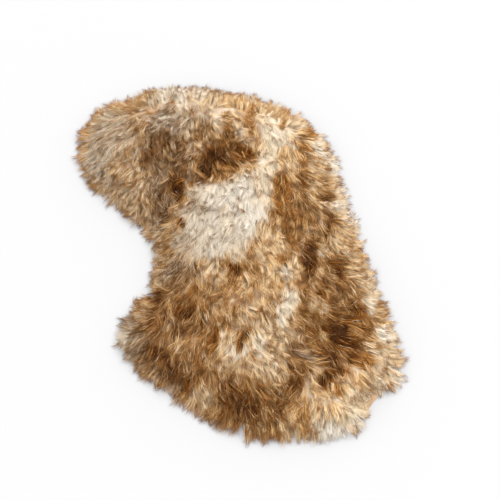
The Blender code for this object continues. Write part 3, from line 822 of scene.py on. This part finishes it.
def growLocks():
    # Where each lock stands, how it lies and what colour it has
    spots = lockRoots()
    inset, outward, stretch = insetFrom(woolRing, spots)
    tousled = colouringAt(spots, inset)[3]
    middles, tuft = tuftOf(spots)
    heading, parting = lockHeadings(spots, inset, outward, tousled, tuft)
    count = len(spots)
    edge = smooth(wool["rimReach"], 0.0, inset)
    length = wool["length"] * (1 + dice.normal(0, wool["lengthSpread"], count))
    length *= 1 + wool["lengthWander"] * ripple(spots, "length")
    length = np.clip(length, *wool["lengths"]) * between(1.0, wool["rimLength"], edge)
    nearBare = bareShare[stretch] * smooth(wool["bareReach"], 0.0, inset)
    length *= between(1.0, wool["bareLength"], nearBare)
    rootRise = riseOf(spots, "rootRise") * between(1.0, wool["rimRise"], edge)
    tipRise = between(riseOf(spots, "tipRise"), wool["rimFall"], edge)
    rootRise += wool["partingRise"] * parting
    tipRise += wool["partingRise"] * parting
    bend = dice.normal(0, wool["bend"], count) * between(*wool["bendShare"], tousled)
    hook = dice.normal(0, wool["hook"], count)
    # A lock takes the colour of the place where it shows, not of its root
    ahead = wool["shownAt"] * length * np.cos(np.radians(rootRise))
    shown = spots + facing(heading) * ahead[:, None]
    tone, warmth, tipped, _ = colouringAt(shown, inset)
    darkTip = dice.uniform(0, 1, count) < tipped
    farther = dice.uniform(*tones["tipped"], count)
    nearer = dice.uniform(*tones["untipped"], count)
    return SimpleNamespace(
        count=count, spots=spots, toMiddle=middles - spots, edge=edge, tousled=tousled,
        heading=heading, bend=np.radians(bend), hook=np.radians(hook), rootRise=rootRise,
        tipRise=tipRise + wool["tippedRise"] * darkTip, darkTip=darkTip, tone=tone, warmth=warmth,
        length=np.where(darkTip, wool["tippedLength"], 1.0) * length,
        reachOfColour=np.where(darkTip, farther, nearer),
    )


def strandPaths(locks, owner):
    # Each strand follows its lock's line, from its own root
    strands = len(owner)
    turn = dice.uniform(0, 2 * math.pi, strands)
    spread = wool["lockRadius"] * np.sqrt(dice.uniform(0, 1, strands))
    offset = facing(turn) * spread[:, None]
    even = locks.darkTip[owner]  # a dark-tipped lock's strands end together
    evenReach = dice.uniform(*wool["tippedReach"], strands)
    reach = locks.length[owner] * np.where(
        even, evenReach, dice.uniform(*wool["strandReach"], strands)
    )
    loose = dice.uniform(0, 1, strands) < wool["loose"]
    gather = wool["gather"] * dice.uniform(*wool["gatherSpread"], strands)
    gather *= np.where(loose, wool["looseGather"], 1.0)
    gather = np.where(even & ~loose, wool["tippedGather"], gather)
    gather *= between(1.0, wool["rimGather"], locks.edge[owner])
    curl = between(*wool["curl"], locks.tousled)[owner]
    phase = dice.uniform(0, 2 * math.pi, locks.count)[owner]
    phase += dice.normal(0, wool["curlSpread"], strands)
    waves = dice.uniform(*wool["waves"], locks.count)[owner]
    headed = locks.heading[owner] + dice.normal(0, wool["stray"], strands)

    roots = locks.spots[owner] + offset
    rootInset = insetFrom(woolRing, roots)[0]
    base = underwoolTop(roots) - wool["rootSink"]
    path = np.zeros((strands, len(wool["alongRings"]), 3))
    path[:, 0, :2] = roots
    path[:, 0, 2] = np.where(rootInset > 0, base, wool["rimRoot"])
    steps = wool["stepsPerRing"]
    for ring in range(1, len(wool["alongRings"])):
        place = path[:, ring - 1].copy()
        low, high = wool["alongRings"][ring - 1 : ring + 1]
        stride = reach * (high - low) / steps
        for step in range(steps):
            share = low + (high - low) * (step + 0.5) / steps
            rise = between(locks.rootRise, locks.tipRise, share ** wool["riseCurve"])
            rise = np.radians(rise)[owner]
            way = headed + locks.bend[owner] * share
            way += locks.hook[owner] * smooth(wool["hookFrom"], 1.0, share)
            place[:, :2] += facing(way) * (np.cos(rise) * stride)[:, None]
            place[:, 2] += np.sin(rise) * stride
        path[:, ring] = place
    # Gather the lock, lean it into its tuft, and wave each strand sideways and up
    lean = wool["tuftLean"] * between(1.0, wool["rimLean"], locks.edge)
    lean = lean[:, None] * locks.toMiddle
    curve = np.where(even, wool["tippedCurve"], wool["gatherCurve"])
    for ring, share in enumerate(wool["alongRings"]):
        path[:, ring, :2] -= offset * (gather * share**curve)[:, None]
        path[:, ring, :2] += lean[owner] * share ** wool["leanCurve"]
        wave = 2 * math.pi * waves * share
        swing = curl * share * np.sin(phase + wave)
        path[:, ring, :2] += facing(headed + math.pi / 2) * swing[:, None]
        path[:, ring, 2] += curl * share * np.cos(phase * wool["bobPhase"] + wave)
    return path, rootInset


def fitToCover(path, locks, owner):
    # Brings each strand's rise to the wool's cover, as lumpy as the frame's solid
    even = locks.darkTip[owner]
    fromMiddle = 2 * np.linalg.norm(locks.toMiddle, axis=1) / wool["tuftStep"]
    dip = wool["tuftDip"] * np.clip(fromMiddle, 0.0, wool["dipReach"]) ** 2
    dip *= between(wool["paleDip"], 1.0, smooth(*wool["dipFrom"], locks.tone))
    wanted = woolCover(path[:, -1, :2]) * dice.uniform(*wool["filling"], len(path))
    wanted *= (1 - dip * (1 - locks.edge))[owner]
    wanted += np.where(even, wool["tippedHeight"], 0.0)
    root = path[:, :1, 2]
    climb = np.maximum(path[:, :, 2].max(axis=1) - root[:, 0], wool["leastClimb"])
    fit = np.clip((wanted - root[:, 0]) / climb, *wool["climbFit"])
    path[:, 1:, 2] = root + (path[:, 1:, 2] - root) * fit[:, None]
    past = np.where(even, wool["tippedHeight"], wool["otherHeight"])
    for ring in range(1, path.shape[1]):
        spots = path[:, ring, :2]
        onHide = insetFrom(outline, spots)[0] > wool["hideMargin"]
        floor = np.where(onHide, wool["overHide"], wool["overFloor"])
        top = np.maximum(woolCover(spots) + past, floor + wool["leastRoom"])
        path[:, ring, 2] = np.clip(path[:, ring, 2], floor, top)


def strandColours(path, locks, owner):
    # Each stretch of a strand takes most of its colour from where it lies
    strands, rings, _ = path.shape
    there = path[:, :, :2].reshape(-1, 2)
    placeTone = colouringAt(there, insetFrom(woolRing, there)[0])[0].reshape(strands, -1)
    tone = between(locks.tone[owner][:, None], placeTone, tones["byPlace"])
    uneven = dice.normal(0, tones["lockSpread"], locks.count)[owner]
    uneven += dice.normal(0, tones["strandSpread"], strands)
    headings = np.repeat(locks.heading[owner], rings)
    streaked = tones["streak"] * streaks(there, headings).reshape(strands, -1)
    shows = smooth(*tones["spreadFrom"], tone) * between(*tones["darkSpread"], tone)
    tone += (uneven[:, None] + streaked) * shows
    pale = dice.uniform(0, 1, strands) < tones["paleStrands"]
    tone = np.where(pale[:, None], tones["palerTone"] * tone, tone)
    varied = between(*tones["darkWarmth"], locks.tone)[owner]
    warmth = locks.warmth[owner] + dice.normal(0, tones["warmthSpread"], strands) * varied
    reachOfColour = locks.reachOfColour[owner] * dice.uniform(*tones["reached"], strands)
    return placeOnMap(tone, warmth), reachOfColour


def growStrands():
    locks = growLocks()
    owner = np.repeat(np.arange(locks.count), wool["strandsPerLock"])
    path, rootInset = strandPaths(locks, owner)
    fitToCover(path, locks, owner)
    mapPlace, reachOfColour = strandColours(path, locks, owner)
    thickness = wool["radius"] * dice.uniform(*wool["radiusSpread"], len(owner))
    return path, mapPlace, reachOfColour, thickness, rootInset


def strandMesh(name, path, mapPlace, reachOfColour, thickness):
    # Tapering strands, each closed at its root and pointed at its tip
    strands, rings, _ = path.shape
    sides = wool["sides"]
    along = np.gradient(path, axis=1)
    along /= np.maximum(np.linalg.norm(along, axis=2, keepdims=True), tiny)
    side = np.cross(along, (0.0, 0.0, 1.0))
    side /= np.maximum(np.linalg.norm(side, axis=2, keepdims=True), tiny)
    lift = np.cross(side, along)
    taper = np.interp(wool["alongRings"], wool["taperAt"], wool["taper"])
    corners = []
    for corner in range(sides):
        angle = 2 * math.pi * corner / sides
        out = math.cos(angle) * side + math.sin(angle) * lift
        corners.append(path + out * (thickness[:, None, None] * taper[None, :, None]))
    body = np.stack(corners, axis=2)[:, :-1].reshape(strands, -1, 3)
    points = np.concatenate((body, path[:, -1:]), axis=1)
    perStrand = points.shape[1]
    points[:, :, 2] = np.maximum(points[:, :, 2], wool["lowest"])

    faces = []
    for ring in range(rings - 1):
        for a in range(sides):
            near, far = sides * ring + a, sides * ring + (a + 1) % sides
            pointed = (near, far, perStrand - 1)
            faces.append(pointed if ring == rings - 2 else (near, far, far + sides, near + sides))
    faces.append(tuple(reversed(range(sides))))
    sizes = np.tile([len(face) for face in faces], strands)
    corner = np.array([index for face in faces for index in face])
    loops = (corner[None, :] + perStrand * np.arange(strands)[:, None]).ravel()
    ringOf = np.minimum(corner // sides, rings - 1)
    shares = np.array(wool["alongRings"])[ringOf]

    mesh = bpy.data.meshes.new(name)
    mesh.vertices.add(strands * perStrand)
    mesh.vertices.foreach_set("co", points.astype(np.float32).ravel())
    mesh.loops.add(len(loops))
    mesh.loops.foreach_set("vertex_index", loops.astype(np.int32))
    mesh.polygons.add(len(sizes))
    starts = np.concatenate(([0], np.cumsum(sizes)[:-1]))
    mesh.polygons.foreach_set("loop_start", starts.astype(np.int32))
    # Across the map is a strand's shade and tone, and up it the way from root to tip colour
    coords = np.zeros((strands, len(corner), 2), np.float32)
    coords[:, :, 0] = mapPlace[:, ringOf]
    climb = shares[None, :] * reachOfColour[:, None]
    coords[:, :, 1] = between(wool["mapMargin"], 1 - wool["mapMargin"], climb)
    mesh.uv_layers.new(name="OFBake").data.foreach_set("uv", coords.ravel())
    mesh.update(calc_edges=True)
    mesh.shade_smooth()
    return bpy.data.objects.new(name, mesh)


# Materials
mixSockets = {"low": 6, "high": 7, "result": 2}  # those of a mix of two colours


def newMaterial(name, roughness):
    material = bpy.data.materials.new(name)
    material.use_nodes = True
    shader = material.node_tree.nodes["Principled BSDF"]
    shader.inputs["Roughness"].default_value = roughness
    return material, material.node_tree, shader


def addNode(tree, kind, inputs, result, **settings):
    # A node whose inputs are wired to other nodes' outputs or given plain values
    node = tree.nodes.new("ShaderNode" + kind)
    for name, value in settings.items():
        setattr(node, name, value)
    for name, value in inputs.items():
        if isinstance(value, bpy.types.NodeSocket):
            tree.links.new(value, node.inputs[name])
        else:
            node.inputs[name].default_value = value
    return node.outputs[result]


def addRamp(tree, factor, stops):
    ramp = addNode(tree, "ValToRGB", {"Fac": factor}, "Color")
    elements = ramp.node.color_ramp.elements
    while len(elements) < len(stops):
        elements.new(0.5)
    for element, (position, colour) in zip(elements, stops):
        element.position = position
        element.color = (*colour, 1.0)
    return ramp


def addBlend(tree, factor, low, high):
    inputs = {"Factor": factor, mixSockets["low"]: low, mixSockets["high"]: high}
    return addNode(tree, "Mix", inputs, mixSockets["result"], data_type="RGBA")


def addRise(tree, value, low, high):
    inputs = {"Value": value, "From Min": low, "From Max": high}
    return addNode(tree, "MapRange", inputs, "Result", interpolation_type="SMOOTHSTEP")


def addNoise(tree, scale, detail, place):
    return addNode(tree, "TexNoise", {"Vector": place, "Scale": scale, "Detail": detail}, "Fac")


def addBump(tree, height, shader, strength, distance):
    inputs = {"Height": height, "Strength": strength, "Distance": distance}
    tree.links.new(addNode(tree, "Bump", inputs, "Normal"), shader.inputs["Normal"])


coatLook = {
    "middleFrom": (0.05, 0.42),  # the way up the colour map over which each colour takes over
    "tipFrom": (0.58, 0.74),
    "roughness": 0.58,
    "specular": 0.0,
}


def shadeStops(part):
    # The ramp of that part of a strand: every shade in turn, from its palest tone to its darkest
    stops = []
    for place, shade in enumerate(woolShades.values()):
        colours = shade[part]
        for step, colour in enumerate(colours):
            tone = between(shadeMargin, 1 - shadeMargin, step / (len(colours) - 1))
            stops.append(((place + tone) / len(woolShades), colour))
    return stops


def strandMaterial():
    material, tree, shader = newMaterial("wool strands", coatLook["roughness"])
    coords = addNode(tree, "UVMap", {}, "UV", uv_map="OFBake")
    across = addNode(tree, "SeparateXYZ", {"Vector": coords}, "X")
    along = across.node.outputs["Y"]
    parts = ("root", "middle", "tip")
    root, middle, tip = (addRamp(tree, across, shadeStops(part)) for part in parts)
    lower = addBlend(tree, addRise(tree, along, *coatLook["middleFrom"]), root, middle)
    colour = addBlend(tree, addRise(tree, along, *coatLook["tipFrom"]), lower, tip)
    tree.links.new(colour, shader.inputs["Base Color"])
    shader.inputs["Specular IOR Level"].default_value = coatLook["specular"]
    return material


feltLook = {
    "roughness": 0.9,
    # between the fibres and on them, from the palest tone to the darkest: darker than the strands,
    # partly as painted shade
    "shadeBetweenFibres": ((0.0, (0.50, 0.43, 0.33)), (0.5, (0.18, 0.085, 0.029)), (1.0, (0.025, 0.009, 0.003))),
    "pale": ((0.0, (0.60, 0.53, 0.43)), (0.5, (0.29, 0.16, 0.068)), (1.0, (0.05, 0.018, 0.005))),
    "fibres": (420.0, 3.0),  # scale and detail
    "bump": (0.8, 0.002),
}


def underwoolMaterial():
    material, tree, shader = newMaterial("underwool", feltLook["roughness"])
    shader.inputs["Specular IOR Level"].default_value = coatLook["specular"]
    place = addNode(tree, "TexCoord", {}, "Object")
    tone = addNode(tree, "Attribute", {}, "Fac", attribute_name="tone")
    # Painted shade: the felt is darker than the strands so that the gaps between locks read as
    # shaded, and darker still between its fibres.
    shadeBetweenFibres, pale = (addRamp(tree, tone, feltLook[name]) for name in ("shadeBetweenFibres", "pale"))
    fibres = addNoise(tree, *feltLook["fibres"], place)
    tree.links.new(addBlend(tree, fibres, shadeBetweenFibres, pale), shader.inputs["Base Color"])
    addBump(tree, fibres, shader, *feltLook["bump"])
    return material


hideLook = {
    "suede": ((0.0, (0.27, 0.17, 0.095)), (0.5, (0.34, 0.225, 0.13)), (1.0, (0.42, 0.285, 0.17))),
    "roughness": 0.88,
    "sheen": 0.3,
    "nap": (900.0, 4.0),  # scale and detail
    "napShare": 0.35,
    "mottle": (14.0, 5.0),
    "shadeFrom": (0.35, 1.0),
    "bump": (0.5, 0.0006),
}


def suedeMaterial():
    material, tree, shader = newMaterial("suede", hideLook["roughness"])
    place = addNode(tree, "TexCoord", {}, "Object")
    nap = addNoise(tree, *hideLook["nap"], place)
    mottle = addNoise(tree, *hideLook["mottle"], place)
    inputs = {0: nap, 1: hideLook["napShare"], 2: mottle}
    mixed = addNode(tree, "Math", inputs, "Value", operation="MULTIPLY_ADD")
    shade = addRise(tree, mixed, *hideLook["shadeFrom"])
    tree.links.new(addRamp(tree, shade, hideLook["suede"]), shader.inputs["Base Color"])
    shader.inputs["Sheen Weight"].default_value = hideLook["sheen"]
    addBump(tree, nap, shader, *hideLook["bump"])
    return material


# The hide keeps its solid, with a suede finish
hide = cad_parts["hide"]
hide.data.materials.clear()
hide.data.materials.append(suedeMaterial())

scene = bpy.context.scene
felt = makeUnderwool()
felt.data.materials.append(underwoolMaterial())
scene.collection.objects.link(felt)
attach(felt, "root")
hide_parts("wool")
print("underwool made:", len(felt.data.polygons), "faces")

path, mapPlace, reachOfColour, thickness, rootInset = growStrands()
print("strands grown:", len(path))

# The fleece is kept in bands from neck to rump, and the fringe by itself
bands = {
    "woolNeck": 0.20,
    "woolShoulders": 0.40,
    "woolBack": 0.60,
    "woolHaunches": 0.80,
    "woolRump": 1.01,
}
fringeDepth = 0.012
pastAll = 10.0  # puts the fringe's strands after the others
coat = strandMaterial()
atRim = rootInset < fringeDepth
order = np.argsort(np.argsort(pastAll * atRim - path[:, 0, 1]))
rank = order / max(np.count_nonzero(~atRim), 1)
pieces = {}
start = 0.0
for name, end in bands.items():
    pieces[name] = ~atRim & (rank >= start) & (rank < end)
    start = end
pieces["woolFringe"] = atRim
grown = (path, mapPlace, reachOfColour, thickness)
for name, chosen in pieces.items():
    piece = strandMesh(name, *(values[chosen] for values in grown))
    piece.data.materials.append(coat)
    scene.collection.objects.link(piece)
    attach(piece, "root")
    print(name, np.count_nonzero(chosen), "strands")


# Studio
def makeFloor():
    mesh = bpy.data.meshes.new("floor")
    reach = studio["floorReach"]
    corners = [(-reach, -reach, 0), (reach, -reach, 0), (reach, reach, 0), (-reach, reach, 0)]
    mesh.from_pydata(corners, [], [(0, 1, 2, 3)])
    material, _, shader = newMaterial("floor", studio["floorRoughness"])
    shader.inputs["Base Color"].default_value = (*studio["floor"], 1.0)
    mesh.materials.append(material)
    floor = bpy.data.objects.new("floor", mesh)
    floor.location.z = -studio["floorDrop"]
    scene.collection.objects.link(floor)


def aimAt(thing, target):
    away = Vector(target) - thing.location
    thing.rotation_euler = away.to_track_quat("-Z", "Y").to_euler()


def makeLamps():
    for name, (turn, height, softness, strength, colour) in lamps.items():
        lamp = bpy.data.lights.new(name, "SUN")
        lamp.angle = math.radians(softness)
        lamp.energy = strength
        lamp.color = colour
        holder = bpy.data.objects.new(name, lamp)
        height = math.radians(height)
        way = (*facing(math.radians(turn)) * math.cos(height), math.sin(height))
        holder.location = studio["lampDistance"] * Vector(way)
        aimAt(holder, (0.0, 0.0, 0.0))
        scene.collection.objects.link(holder)
    world = bpy.data.worlds.new("studio")
    world.use_nodes = True
    background = world.node_tree.nodes["Background"]
    background.inputs["Color"].default_value = (*studio["sky"], 1.0)
    background.inputs["Strength"].default_value = studio["skyStrength"]
    scene.world = world


def makeCamera():
    camera = bpy.data.objects.new("camera", bpy.data.cameras.new("camera"))
    camera.data.lens = studio["lens"]
    camera.location = Vector(studio["aim"]) - Vector(cameraAhead()) * studio["distance"]
    aimAt(camera, studio["aim"])
    scene.collection.objects.link(camera)
    scene.camera = camera


makeFloor()
makeLamps()
makeCamera()
scene.view_settings.view_transform = "Standard"
print("studio set")
